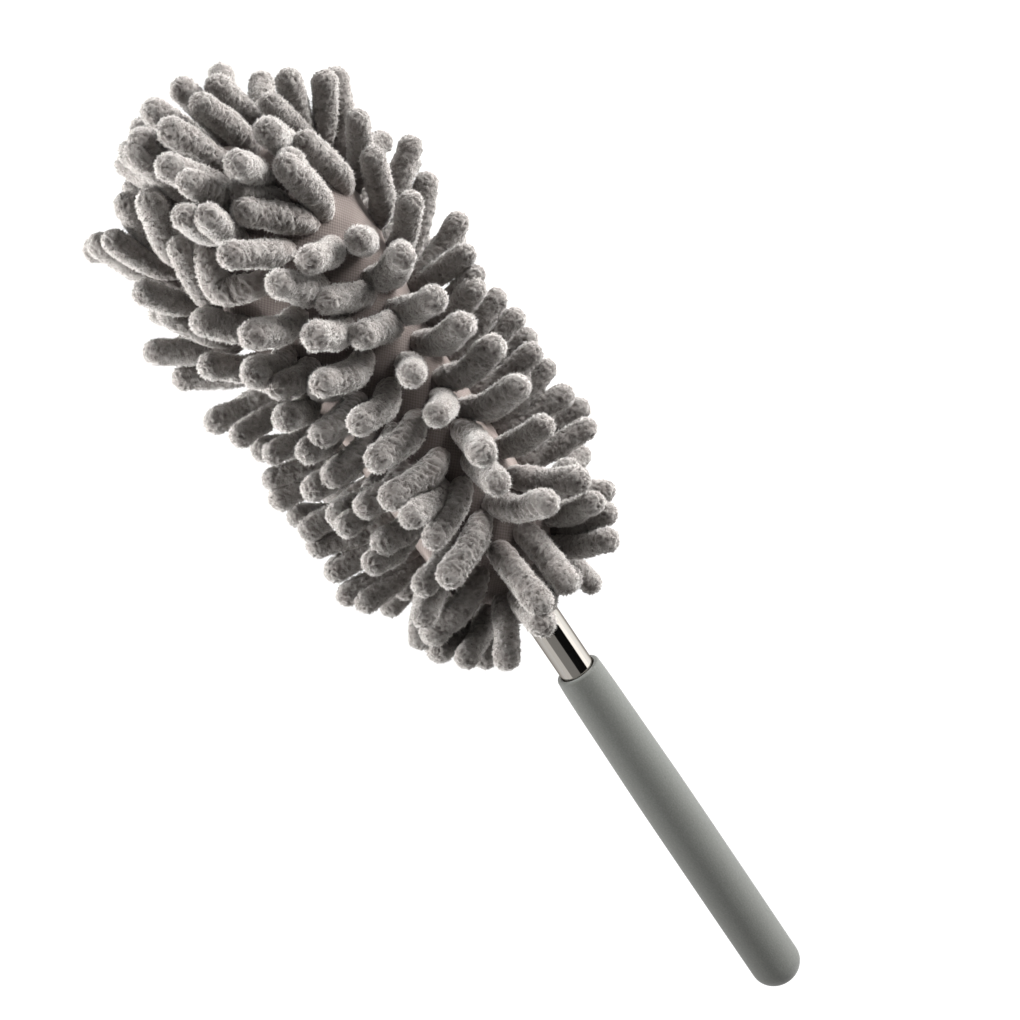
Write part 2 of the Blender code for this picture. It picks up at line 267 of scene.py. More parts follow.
def knit_material():
    """Fine knitted mesh. The UV map holds millimetres along and round the sleeve."""
    mat, nt, bsdf = new_material("knit_cloth")
    uv = add(nt, "ShaderNodeUVMap", uv_map="knit").outputs["UV"]
    sep = add(nt, "ShaderNodeSeparateXYZ")
    nt.links.new(uv, sep.inputs[0])
    along = maths(nt, "COSINE", maths(nt, "MULTIPLY", sep.outputs["X"], 2 * math.pi / 1.02))
    around = maths(nt, "COSINE", maths(nt, "MULTIPLY", sep.outputs["Y"], 2 * math.pi / 0.96))
    height = maths(nt, "ADD", maths(nt, "MULTIPLY", maths(nt, "MULTIPLY", along, around), 0.5), 0.5)
    # Painted shade: the knit is darker in the hollows between its bumps and lighter on their tops.
    shade = maths(nt, "ADD", maths(nt, "MULTIPLY", height, 0.75), 0.12)
    patch = noise_node(nt, object_coords(nt), 240.0, 3.0, 0.6)
    col = ramp(nt, shade, [(0.0, (0.082, 0.067, 0.062)), (0.45, (0.112, 0.094, 0.087)), (1.0, (0.150, 0.128, 0.119))])
    tint = ramp(nt, patch, [(0.3, (0.90, 0.88, 0.87)), (0.7, (1.0, 1.0, 1.0))])
    col = mix_colour(nt, 1.0, col, tint, "MULTIPLY")
    # Painted rim light: the cloth colour grows lighter where it is seen edge-on, standing in for light shining through
    # it.
    facing = add(nt, "ShaderNodeLayerWeight")
    facing.inputs["Blend"].default_value = 0.5
    painted_rim_light = maths(nt, "ADD", maths(nt, "MULTIPLY", maths(nt, "POWER", facing.outputs["Facing"], 2.5), 2.2), 0.95)
    col = mix_colour(nt, 1.0, col, painted_rim_light, "MULTIPLY")
    nt.links.new(col, bsdf.inputs["Base Color"])
    bsdf.inputs["Roughness"].default_value = 0.95
    bsdf.inputs["Specular IOR Level"].default_value = 0.15
    bsdf.inputs["Sheen Weight"].default_value = 0.5
    bsdf.inputs["Sheen Roughness"].default_value = 0.4
    bsdf.inputs["Sheen Tint"].default_value = (1.0, 0.93, 0.88, 1.0)
    bump(nt, bsdf, height, 0.5, 0.00015)
    return mat


def grip_material():
    mat, nt, bsdf = new_material("grip_rubber")
    oc = object_coords(nt)
    grain = noise_node(nt, oc, 2300.0, 3.0, 0.6)
    cloud = noise_node(nt, oc, 90.0, 3.0, 0.5)
    col = ramp(nt, grain, [(0.30, (0.088, 0.091, 0.084)), (0.55, (0.106, 0.109, 0.101)), (0.75, (0.127, 0.131, 0.121))])
    wear = ramp(nt, cloud, [(0.35, (0.965, 0.965, 0.965)), (0.65, (1.0, 1.0, 1.0))])
    col = mix_colour(nt, 1.0, col, wear, "MULTIPLY")
    nt.links.new(col, bsdf.inputs["Base Color"])
    rough = ramp(nt, cloud, [(0.3, (0.62, 0.62, 0.62)), (0.7, (0.74, 0.74, 0.74))])
    nt.links.new(rough, bsdf.inputs["Roughness"])
    bsdf.inputs["Specular IOR Level"].default_value = 0.3
    bsdf.inputs["Sheen Weight"].default_value = 0.12
    bsdf.inputs["Sheen Roughness"].default_value = 0.5
    height = maths(nt, "ADD", grain, maths(nt, "MULTIPLY", noise_node(nt, oc, 900.0, 2.0, 0.5), 0.8))
    bump(nt, bsdf, height, 0.35, 0.00012)
    return mat


def steel_material(name, colour, base_rough, brush):
    """Polished or drawn steel, with faint lines along the rod."""
    mat, nt, bsdf = new_material(name)
    oc = object_coords(nt)
    turn = add(nt, "ShaderNodeMapping")
    turn.inputs["Rotation"].default_value = (0.0, TILT, 0.0)
    turn.inputs["Scale"].default_value = (12.0, 900.0, 900.0)
    nt.links.new(oc, turn.inputs["Vector"])
    lines = noise_node(nt, turn.outputs["Vector"], 1.0, 3.0, 0.6)
    smudge = noise_node(nt, oc, 120.0, 3.0, 0.6)
    rough = maths(nt, "ADD", maths(nt, "MULTIPLY", lines, brush), maths(nt, "MULTIPLY", smudge, brush))
    rough = maths(nt, "ADD", rough, base_rough)
    nt.links.new(rough, bsdf.inputs["Roughness"])
    tone = tuple(c * 0.96 for c in colour)
    nt.links.new(ramp(nt, lines, [(0.3, tone), (0.7, colour)]), bsdf.inputs["Base Color"])
    bsdf.inputs["Metallic"].default_value = 1.0
    bsdf.inputs["Specular Tint"].default_value = (0.30, 0.28, 0.26, 1.0)
    bump(nt, bsdf, lines, 0.04, 0.00002)
    return mat


def plastic_material(name, low, high, rough):
    mat, nt, bsdf = new_material(name)
    oc = object_coords(nt)
    grain = noise_node(nt, oc, 1400.0, 3.0, 0.6)
    cloud = noise_node(nt, oc, 220.0, 2.0, 0.5)
    nt.links.new(ramp(nt, maths(nt, "MULTIPLY", maths(nt, "ADD", grain, cloud), 0.5), [(0.35, low), (0.65, high)]), bsdf.inputs["Base Color"])
    nt.links.new(maths(nt, "ADD", maths(nt, "MULTIPLY", cloud, 0.15), rough), bsdf.inputs["Roughness"])
    bump(nt, bsdf, grain, 0.25, 0.00006)
    return mat


def foam_material():
    mat, nt, bsdf = new_material("core_foam")
    oc = object_coords(nt)
    cells = add(nt, "ShaderNodeTexVoronoi", feature="F1")
    cells.inputs["Scale"].default_value = 1100.0
    nt.links.new(oc, cells.inputs["Vector"])
    nt.links.new(ramp(nt, cells.outputs["Distance"], [(0.15, (0.50, 0.49, 0.46)), (0.6, (0.78, 0.77, 0.73))]), bsdf.inputs["Base Color"])
    bsdf.inputs["Roughness"].default_value = 0.95
    bump(nt, bsdf, cells.outputs["Distance"], 0.6, 0.0003)
    return mat


MAT_CHENILLE = chenille_material()
MAT_KNIT = knit_material()
MAT_GRIP = grip_material()
MAT_STEEL = steel_material("chromed_steel", (0.43, 0.41, 0.383), 0.015, 0.05)
MAT_WIRE = steel_material("steel_wire", (0.52, 0.51, 0.50), 0.28, 0.12)
MAT_NYLON = plastic_material("nylon", (0.60, 0.59, 0.54), (0.72, 0.71, 0.66), 0.42)
MAT_BLACK = plastic_material("black_plastic", (0.022, 0.022, 0.023), (0.045, 0.045, 0.046), 0.38)
MAT_ELASTIC = plastic_material("elastic", (0.03, 0.03, 0.03), (0.07, 0.068, 0.066), 0.7)
MAT_FOAM = foam_material()


# ------------------------------------------------------------------ core shape
CORE_S = (134.0, 139.0, 146.0, 152.0, 160.0, 205.0, 212.0, 225.0, 238.0, 248.0, 256.0, 263.0, 269.0, 272.5, 273.5)
CORE_R = (8.0, 9.5, 13.0, 15.6, 16.2, 16.3, 17.3, 19.2, 21.6, 22.6, 22.0, 18.8, 12.8, 6.0, 0.0)


def core_radius(s):
    return np.interp(s, CORE_S, CORE_R)


def core_drift(s):
    """The soft head leans a little towards +Y at its tip."""
    return 3.2 * np.clip((np.asarray(s, float) - 200.0) / 55.0, 0.0, None) ** 1.5


def on_core(s, phi):
    r = core_radius(s)
    return np.array([s, r * math.cos(phi), r * math.sin(phi) + core_drift(s)])


def core_normal(s, phi):
    slope = (core_radius(s + 1.5) - core_radius(s - 1.5)) / 3.0
    n = np.array([-slope, math.cos(phi), math.sin(phi)])
    return n / np.linalg.norm(n)


def hit_core(px):
    """(s, phi) where the ray of a pixel meets the core, or passes nearest to it."""
    d = pixel_ray(px)
    t = np.arange(440.0, 620.0, 0.2)
    p = cam_c + d * t[:, None]
    v = p[:, 2] - core_drift(p[:, 0])
    r = np.hypot(p[:, 1], v)
    gap = r - np.where((p[:, 0] > 134) & (p[:, 0] < 273.5), core_radius(p[:, 0]), -50.0)
    inside = np.nonzero(gap <= 0)[0]
    k = inside[0] if len(inside) else int(gap.argmin())
    return float(np.clip(p[k, 0], 136.0, 272.0)), math.atan2(v[k], p[k, 1]), bool(len(inside))


def tip_at(root, px, length, normal, lift=0.25):
    """The point at that length from the root on the ray of a pixel, the one that
    stands better off the sleeve."""
    d = pixel_ray(px)
    w = cam_c - root
    b, q = w @ d, w @ w - length * length
    disc = b * b - q
    if disc < 0:
        return cam_c - d * b
    both = [cam_c + d * (-b + sign * math.sqrt(disc)) for sign in (-1, 1)]
    return max(both, key=lambda p: (p - root) @ (normal + lift * cam_o))


# ------------------------------------------------------------------ fingers
# Seen fingers, measured on the photograph: middle of the round tip, then the root.
SEEN = [
    ((219, 88), (268, 135)), ((184, 91), (237, 137)), ((203, 106), (253, 150)),
    ((156, 113), (212, 158)), ((172, 132), (224, 168)), ((143, 142), (196, 185)), ((138, 155), (196, 198)),
    ((170, 168), (226, 192)), ((191, 183), (243, 206)), ((238, 164), (264, 184)), ((151, 204), (182, 262)),
    ((128, 206), (165, 262)), ((115, 242), (178, 276)), ((181, 250), (216, 305)),
    ((146, 293), (202, 304)), ((172, 315), (240, 341)), ((157, 352), (215, 357)), ((185, 378), (226, 390)),
    ((211, 366), (248, 374)), ((273, 106), (318, 148)), ((289, 81), (319, 138)), ((325, 83), (337, 146)),
    ((269, 132), (288, 154)), ((307, 144), (347, 190)), ((288, 168), (325, 212)),
    ((358, 122), (362, 183)), ((373, 160), (377, 223)), ((246, 211), (311, 223)), ((232, 255), (288, 250)),
    ((310, 260), (333, 246)), ((281, 284), (319, 285)), ((327, 300), (368, 291)), ((254, 335), (298, 316)),
    ((255, 374), (291, 372)), ((359, 240), (359, 240)), ((410, 148), (396, 206)), ((426, 184), (428, 249)),
    ((410, 204), (406, 247)), ((401, 257), (371, 280)), ((457, 224), (418, 271)), ((464, 255), (411, 286)),
    ((473, 276), (452, 299)), ((473, 290), (428, 323)), ((433, 300), (392, 311)), ((316, 336), (342, 322)),
    ((363, 335), (393, 318)), ((460, 326), (418, 343)), ((411.7, 374), (405, 362)), ((324, 383), (365, 358)),
    ((437, 414), (440, 396)), ((361, 422), (390, 386)), ((492, 348), (439, 381)), ((495, 301), (466, 344)),
    ((514, 319), (478, 346)), ((531, 354), (474, 395)), ((516, 388), (462, 410)), ((545, 370), (530, 400)),
    ((562, 396), (496, 429)), ((585, 429), (521, 464)), ((542, 427), (498, 449)), ((379, 458), (418, 418)),
    ((393, 496), (441, 456)), ((309, 451), (338, 422)), ((482, 452), (460, 428)), ((412, 516), (440, 486)),
    ((496, 482), (470, 460)), ((545, 503), (490, 503)), ((435, 537), (463, 484)), ((451, 574), (483, 517)),
    ((565, 581), (521, 528)), ((539, 602), (497, 549)), ((592, 503), (546, 517)), ((577, 480), (511, 476)),
    ((606, 514), (560, 526)), ((607, 540), (551, 545)), ((542, 623), (516, 594)), ((507, 657), (503, 598)),
    ((467, 657), (486, 606)), ((442, 650), (470, 606)), ((436, 632), (480, 572)), ((425, 616), (438, 562)),
    ((217, 421), (269, 396)), ((242, 435), (285, 396)), ((287, 418), (313, 390)), ((275, 453), (307, 428)),
    ((275, 479), (324, 466)), ((282, 498), (315, 477)), ((315, 488), (358, 456)), ((311, 529), (364, 489)),
    ((348, 525), (380, 489)), ((319, 546), (354, 543)), ((337, 570), (369, 543)), ((375, 562), (413, 527)),
    ((348, 594), (375, 575)), ((367, 601), (412, 563)), ((208, 217), (238, 240)), ((186, 217), (218, 236)),
]
# Seen fingers that point away from the camera, behind their neighbours.
FAR = [((336, 80), (354, 168)), ((221, 76), (262, 118)), ((101, 246), (180, 290))]
# Tips that show from behind the others, with their roots out of sight.
PEEKING = [
    (143, 130), (128, 165), (136, 190), (178, 215), (262, 84), (381, 142), (526, 339), (578, 409), (579, 456),
    (590, 583), (603, 491), (481, 650), (485, 657), (420, 638), (305, 453), (299, 516), (392, 605), (378, 564),
    (447, 603), (574, 500), (406, 588), (264, 449), (333, 494),
]
# Places near the tip where a finger lies deep between the others.
DEEP = [(258, 328), (288, 352), (312, 366), (283, 205)]
# One finger is folded over: its line runs through these points, root to tip.
FOLDED = [(262, 280), (220, 294), (206, 258), (201, 234)]

ROWS = (145.4, 156.4, 166.8, 177.2, 187.6, 198.0, 208.4, 218.8, 229.2, 239.6, 250.0, 259.6, 266.8, 270.9)
COUNTS = (12, 15, 15, 15, 15, 15, 15, 15, 15, 15, 15, 15, 11, 6)
LEANS = (-30.0, -26.0, -10.0, -3.0, 0.0, 2.0, 4.0, 7.0, 10.0, 14.0, 24.0, 40.0, 56.0, 73.0)
LENGTH = 18.0
RADIUS = 3.08
MOST = 17                               # fingers in one row
CLOSE, WIDE, SNUG = 6.1, 7.0, 6.4       # least distances between two roots
rng = np.random.default_rng(41)


# Lines on the photograph along which the cloth shows.
BARE = (
    ((330, 245), (345, 200), (362, 190)), ((352, 290), (380, 255), (392, 238)), ((395, 350), (420, 300)),
    ((425, 440), (452, 400)), ((480, 560), (500, 510)),
)


def near_bare(px):
    for line in BARE:
        for a, b in zip(line[:-1], line[1:]):
            a, b = np.array(a, float), np.array(b, float)
            t = np.clip(((px - a) @ (b - a)) / ((b - a) @ (b - a)), 0, 1)
            if np.linalg.norm(px - a - (b - a) * t) < 11.0:
                return True
    return False


CELLS = 340                             # side of the coarse depth map of the view


def discs(line, radius):
    """A round bar along a line as discs on the depth map: window, disc, depth."""
    depth = -((line - cam_c) @ cam_o)
    cell = 1020.0 / CELLS
    for (x, y), r, d in zip(project(line) / cell, radius * FOCAL_PX / depth / cell, depth):
        x0, x1 = max(int(x - r), 0), min(int(x + r) + 2, CELLS)
        y0, y1 = max(int(y - r), 0), min(int(y + r) + 2, CELLS)
        if x0 < x1 and y0 < y1:
            inside = (np.arange(x0, x1) - x) ** 2 + (np.arange(y0, y1)[:, None] - y) ** 2 <= r * r
            yield (slice(y0, y1), slice(x0, x1)), inside, d


def stamp(near, line, radius, lift=0.0):
    """Enter a round bar into the depth map."""
    for win, inside, d in discs(line, radius):
        part = near[win]
        part[inside] = np.minimum(part[inside], d - lift)


def share_seen(near, line, radius):
    """The part of a round bar that the camera would see past what is in the map."""
    seen = total = 0
    for win, inside, d in discs(line, radius):
        seen += int((near[win][inside] > d).sum())
        total += int(inside.sum())
    return seen / max(total, 1)


def thickness(s, normal, kind):
    """The radius of a finger. Those at the sides are seen on their narrow side."""
    if kind == "behind":
        return RADIUS * 0.96
    side = 1.0 - smooth((normal @ cam_o - 0.20) / 0.45)
    near_tip = smooth((s - 246.0) / 14.0)
    return RADIUS * (1.0 - max(0.08 * side, 0.02 * near_tip))


def solve_fingers():
    """Every finger as a dict with root, tip (the middle of its round end), normal,
    radius and row, in rod coordinates."""
    fingers, roots = [], []

    def put(s, phi, tip, via=None, kind="seen", draw=rng):
        root, n = on_core(s, phi), core_normal(s, phi)
        f = dict(s=s, phi=phi, root=root, tip=np.array(tip), normal=n, via=via, kind=kind)
        f["radius"] = thickness(s, n, kind) * draw.uniform(0.95, 1.06)
        fingers.append(f)
        roots.append(root)

    for tip_px, root_px in SEEN:
        s, phi, seen = hit_core(root_px)
        put(s, phi, tip_at(on_core(s, phi), tip_px, LENGTH, core_normal(s, phi)))
    for tip_px, root_px in FAR:
        s, phi, seen = hit_core(root_px)
        put(s, phi, tip_at(on_core(s, phi), tip_px, LENGTH + 1.0, core_normal(s, phi), lift=-1.5), kind="far")
    s, phi, seen = hit_core(FOLDED[0])
    root = on_core(s, phi)
    lift = root + core_normal(s, phi) * 6.0
    line = [tip_at(root, FOLDED[1], 8.0, core_normal(s, phi))]
    for px in FOLDED[2:]:
        d = pixel_ray(px)
        depth = (line[-1] - cam_c) @ d + 1.0
        line.append(cam_c + d * depth)
    put(s, phi, line[-1], via=[root + (lift - root) * 0.4] + line[:-1], kind="folded")

    ring = [(s, 2 * math.pi * (k + 0.5 * (j % 2)) / n) for j, (s, n) in enumerate(zip(ROWS, COUNTS)) for k in range(n)]
    for px in PEEKING:
        best = None
        for s, phi in ring:
            root, n = on_core(s, phi), core_normal(s, phi)
            if n @ cam_o > 0.1 or min(np.linalg.norm(root - r) for r in roots) < 6.2:
                continue
            tip = tip_at(root, px, LENGTH + 1.0, n)
            d = tip - root
            if np.linalg.norm(d) > LENGTH + 5.0:
                continue
            score = d @ n / np.linalg.norm(d)
            if best is None or score > best[0]:
                best = (score, s, phi, tip)
        if best is not None:
            put(*best[1:], kind="peeking")

    # fingers low down between the seen ones, where the cloth doesn't show
    fronts = [f for f in fingers if f["kind"] == "seen"]
    marks = np.array([f["root"] for f in fronts])
    ways = np.array([(f["tip"] - f["root"]) / np.linalg.norm(f["tip"] - f["root"]) for f in fronts])

    def put_low(s, phi, length):
        root = on_core(s, phi)
        near = np.argsort(np.linalg.norm(marks - root, axis=1))[:3]
        d = ways[near].mean(0)
        d = d / np.linalg.norm(d) - 0.35 * cam_o
        put(s, phi, root + d / np.linalg.norm(d) * length, kind="filler")

    for px in DEEP:
        put_low(*hit_core(px)[:2], 12.5)
    for s, phi in ring:
        root, n = on_core(s, phi), core_normal(s, phi)
        if n @ cam_o <= 0.22 or min(np.linalg.norm(root - r) for r in roots) < 6.0:
            continue
        if near_bare(project(root)) or not 150.0 < s < 236.0:
            continue
        put_low(s, phi, 14.5)

    # what the fingers so far and the core hide from the camera
    near = np.full((CELLS, CELLS), np.inf)
    axis = np.stack([np.arange(136.0, 273.0, 1.0)] * 3, -1) * (1.0, 0.0, 0.0)
    axis[:, 2] = core_drift(axis[:, 0])
    for row, r in zip(axis, core_radius(axis[:, 0])):
        stamp(near, row[None], np.array([r]), lift=0.5 * r)
    steps = np.linspace(0, 1, 25)[:, None]
    for f in fingers:
        rest_on_table(f)
        stamp(near, f["root"] + (f["tip"] - f["root"]) * steps, np.full(25, f["radius"] + 0.3))

    # the sides and the far side, with fingers that stay out of sight
    parts = np.array([0.55, 0.8, 1.0])[:, None]
    taken = [f["root"] + (f["tip"] - f["root"]) * parts for f in fingers]
    places = [(s + rng.uniform(-0.9, 0.9), phi + rng.uniform(-0.05, 0.05), CLOSE) for s, phi in ring]
    extra = [(s, 2 * math.pi * k / 26, WIDE) for s in np.arange(143.5, 272.5, 3.0) for k in range(26)]
    places += [extra[i] for i in rng.permutation(len(extra))]
    gaps = [(s, phi, SNUG) for s, phi, _ in extra]      # last, short ones where cloth is still bare
    later = np.random.default_rng(17)
    places += [gaps[i] for i in later.permutation(len(gaps))]
    for s, phi, gap in places:
        short = gap == SNUG
        draw = later if short else rng
        root, n3 = on_core(s, phi), core_normal(s, phi)
        if min(np.linalg.norm(root - r) for r in roots) < gap:
            continue
        lean = math.radians(np.interp(s, ROWS, LEANS) + draw.uniform(-7, 7))
        twist = draw.uniform(-0.16, 0.16)
        out = np.array([0.0, math.cos(phi + twist), math.sin(phi + twist)])
        d0 = out * math.cos(lean) + np.array([math.sin(lean), 0.0, 0.0])
        u = np.cross(d0, cam_o)
        u /= np.linalg.norm(u)
        v = np.cross(d0, u)
        full = LENGTH + draw.uniform(-1.5, 1.5)
        tries = [(t, full) for t in (0, 12, 24, 36, 48, 60)] + [(t, 13.0) for t in (12, 36, 54)]
        if short:
            full = 14.0
            tries = [(t, size) for size in (14.0, 11.5, 9.5) for t in (0, 15, 30, 45, 60)]
        best = None
        for tilt, length in tries:
            for turn in range(0, 360, 30 if short else 45) if tilt else (0,):
                t, w = math.radians(tilt), math.radians(turn)
                d = d0 * math.cos(t) + (u * math.cos(w) + v * math.sin(w)) * math.sin(t)
                if d @ n3 < 0.3:
                    continue
                trial = dict(root=root, tip=root + d * length, phi=phi, radius=RADIUS * 0.96)
                rest_on_table(trial)
                line = root + (trial["tip"] - root) * steps
                spots = root + (trial["tip"] - root) * parts
                room = np.linalg.norm(np.array(taken)[:, :, None] - spots, axis=-1).min()
                cost = tilt + (9.0 if short else 11.0) * max(0.0, 5.8 - room) + 4.0 * (full - length)
                if best is not None and cost >= best[0]:
                    continue
                if share_seen(near, line[3:], np.full(22, RADIUS * 0.96)) <= 0.03:
                    best = (cost, trial["tip"], spots)
        if best is None or best[0] > 85.0:
            continue
        taken.append(best[2])
        put(s, phi, best[1], kind="behind", draw=draw)
    row_of = np.array(ROWS)
    rows = [[] for _ in ROWS]
    for f in sorted(fingers, key=lambda f: np.abs(row_of - f["s"]).min()):
        order = [int(r) for r in np.argsort(np.abs(row_of - f["s"])) if len(rows[r]) < MOST]
        f["row"] = order[0]
        rows[order[0]].append(f)
    for f in fingers:
        front = smooth((f["normal"] @ cam_o - 0.3) / 0.4)
        f["bow"] = rng.uniform(0.5, 1.7) * (1.0 - smooth((f["s"] - 236.0) / 20.0))
        f["seed"] = int(rng.integers(1, 90000))
        f["crimp"] = (0.35 + 0.65 * front) * rng.uniform(0.6, 1.2)
    return fingers


def rest_on_table(f):
    """Bend a finger that would go through the table along it."""
    root, tip = world(f["root"]), world(f["tip"])
    need = f["radius"] * MM * 0.92
    if tip[2] >= need:
        return
    length = np.linalg.norm(tip - root)
    flat = np.array([tip[0] - root[0], tip[1] - root[1], 0.0])
    if np.linalg.norm(flat[:2]) < 0.004:
        flat += np.array([0.0, math.copysign(0.004, math.sin(f["phi"]) or 1.0), 0.0])
    drop = max(root[2] - need, 0.0)
    reach = math.sqrt(max(length * length - drop * drop, (0.35 * length) ** 2))
    tip = root + flat / np.linalg.norm(flat) * reach
    tip[2] = need
    f["tip"] = rod(tip)


BODY_RINGS, CAP_RINGS, SEGS = 58, 12, 42
TUFTS, FIBRES = 1080, 880                           # on each finger


def centreline(f):
    """Points along the finger's middle at even steps, from just under the cloth."""
    root, tip, n = f["root"], f["tip"], f["normal"]
    start = root - n * 1.4
    t = np.linspace(0, 1, 61)[:, None]
    if f["via"] is not None:
        knots = np.array([start] + list(f["via"]) + [tip])
        seg = np.concatenate([[0], np.cumsum(np.linalg.norm(np.diff(knots, axis=0), axis=1))])
        u = np.linspace(0, seg[-1], 121)
        line = np.stack([np.interp(u, seg, knots[:, k]) for k in range(3)], -1)
        for _ in range(120):
            line[1:-1] = (line[:-2] + line[2:] + 2 * line[1:-1]) / 4
    else:
        length = np.linalg.norm(tip - start)
        d = (tip - start) / length
        c1 = start + (n * 0.55 + d * 0.45) * length * 0.36
        c2 = tip - (d * 1.25 - n * 0.25) * length * 0.30
        line = (1 - t) ** 3 * start + 3 * (1 - t) ** 2 * t * c1 + 3 * (1 - t) * t * t * c2 + t ** 3 * tip
        line[:, 0] -= f["bow"] * np.sin(np.pi * t[:, 0]) ** 2
    step = np.concatenate([[0], np.cumsum(np.linalg.norm(np.diff(line, axis=0), axis=1))])
    even = np.linspace(0, step[-1], BODY_RINGS)
    return np.stack([np.interp(even, step, line[:, k]) for k in range(3)], -1), step[-1]


def finger_mesh(f):
    """Vertices, painted ridge shade and along values of one finger, ring by ring, and then its pole."""
    line, length = centreline(f)
    tang = np.gradient(line, axis=0)
    tang /= np.linalg.norm(tang, axis=1)[:, None]
    ref = np.cross(tang[-1], f["normal"] + np.array([0.013, 0.017, 0.011]))
    ref /= np.linalg.norm(ref)
    r = f["radius"]
    x = np.linspace(0, 1, BODY_RINGS)
    body_r = r * (0.84 + 0.16 * smooth(x / 0.30)) * (1.0 + 0.035 * np.sin(x * 9.0 + f["seed"]))
    ang = np.linspace(0, math.pi / 2, CAP_RINGS + 1)[1:]
    centre = np.concatenate([line, line[-1] + tang[-1] * (r * np.sin(ang))[:, None]])
    radius = np.concatenate([body_r, body_r[-1] * np.cos(ang)])
    t_all = np.concatenate([tang, np.repeat(tang[-1:], CAP_RINGS, 0)])
    side = np.cross(t_all, np.cross(ref, t_all))
    side /= np.linalg.norm(side, axis=1)[:, None]
    other = np.cross(t_all, side)
    theta = np.linspace(0, 2 * math.pi, SEGS, endpoint=False)
    lat = np.concatenate([np.zeros(BODY_RINGS), ang])
    radial = side[:, None] * np.cos(theta)[None, :, None] + other[:, None] * np.sin(theta)[None, :, None]
    pos = centre[:, None] + radial * radius[:, None, None]
    normal = radial * np.cos(lat)[:, None, None] + t_all[:, None] * np.sin(lat)[:, None, None]
    dist = np.concatenate([x * length, length + r * np.sin(ang)])
    flat = np.stack(
        [
            np.repeat(dist[:, None], SEGS, 1),
            radius[:, None] * np.cos(theta)[None],
            radius[:, None] * np.sin(theta)[None],
        ],
        -1,
    ).reshape(-1, 3)
    off = np.array([(f["seed"] * 7) % 997, (f["seed"] * 13) % 991, (f["seed"] * 29) % 983], float)
    capness = smooth((flat[:, 0] - (length - 1.2)) / (r * 0.9))
    sway = gradient_noise(flat / 3.2 + off, 3) * 1.5
    q = np.stack([flat[:, 0] / 1.0 + sway, flat[:, 1] / 1.8, flat[:, 2] / 1.8], -1) + off
    fold = 1.0 - 2.6 * np.abs(gradient_noise(q, 11))
    q = flat / 1.15 + off * 0.7
    curl = 1.0 - 2.4 * np.abs(gradient_noise(q + gradient_noise(q * 0.6, 7)[:, None] * 0.8, 17))
    lump = gradient_noise(flat / 4.2 + off * 0.3, 23)
    fuzz = gradient_noise(flat / 0.62 + off * 1.7, 31)
    knob = 1.0 - 2.4 * np.abs(gradient_noise(flat / 1.10 + off * 1.3, 37))
    ridge_and_painted_shade = fold * (1 - capness) + curl * capness
    crimp = f["crimp"] * (1 - capness) + 1.05 * capness
    calm = smooth(np.clip(dist / length, 0, 1) / 0.5) * 0.75 + 0.25
    calm = np.repeat(calm[:, None], SEGS, 1).reshape(-1)
    height = 0.46 * crimp * calm * (ridge_and_painted_shade - 0.5) + 0.30 * (knob - 0.5) + 0.28 * lump + 0.24 * fuzz
    pos = pos.reshape(-1, 3) + normal.reshape(-1, 3) * height[:, None]
    pole = centre[-1] + t_all[-1] * (height[-SEGS:].mean())
    last = len(pos) - SEGS
    verts = np.concatenate([pos[:last], pole[None]])
    # Colour level that follows the raised surface: painted shade in the hollows of folds and knobs, painted highlight
    # on their crests.
    painted_ridge_shade = 0.56 + 0.50 * (ridge_and_painted_shade - 0.62) * crimp + 0.50 * (knob - 0.55) + 0.25 * fuzz
    painted_ridge_shade_level = np.clip(np.concatenate([painted_ridge_shade[:last], [0.6]]), 0, 1)
    along = np.clip(dist / (length + r), 0, 1)
    along_v = np.concatenate([np.repeat(along[:, None], SEGS, 1).reshape(-1)[:last], [1.0]])
    normal_v = np.concatenate([normal.reshape(-1, 3)[:last], t_all[-1:]])
    pile = pile_on(verts, normal_v, painted_ridge_shade_level, along_v, f["seed"])
    return verts, painted_ridge_shade_level, along_v, pile


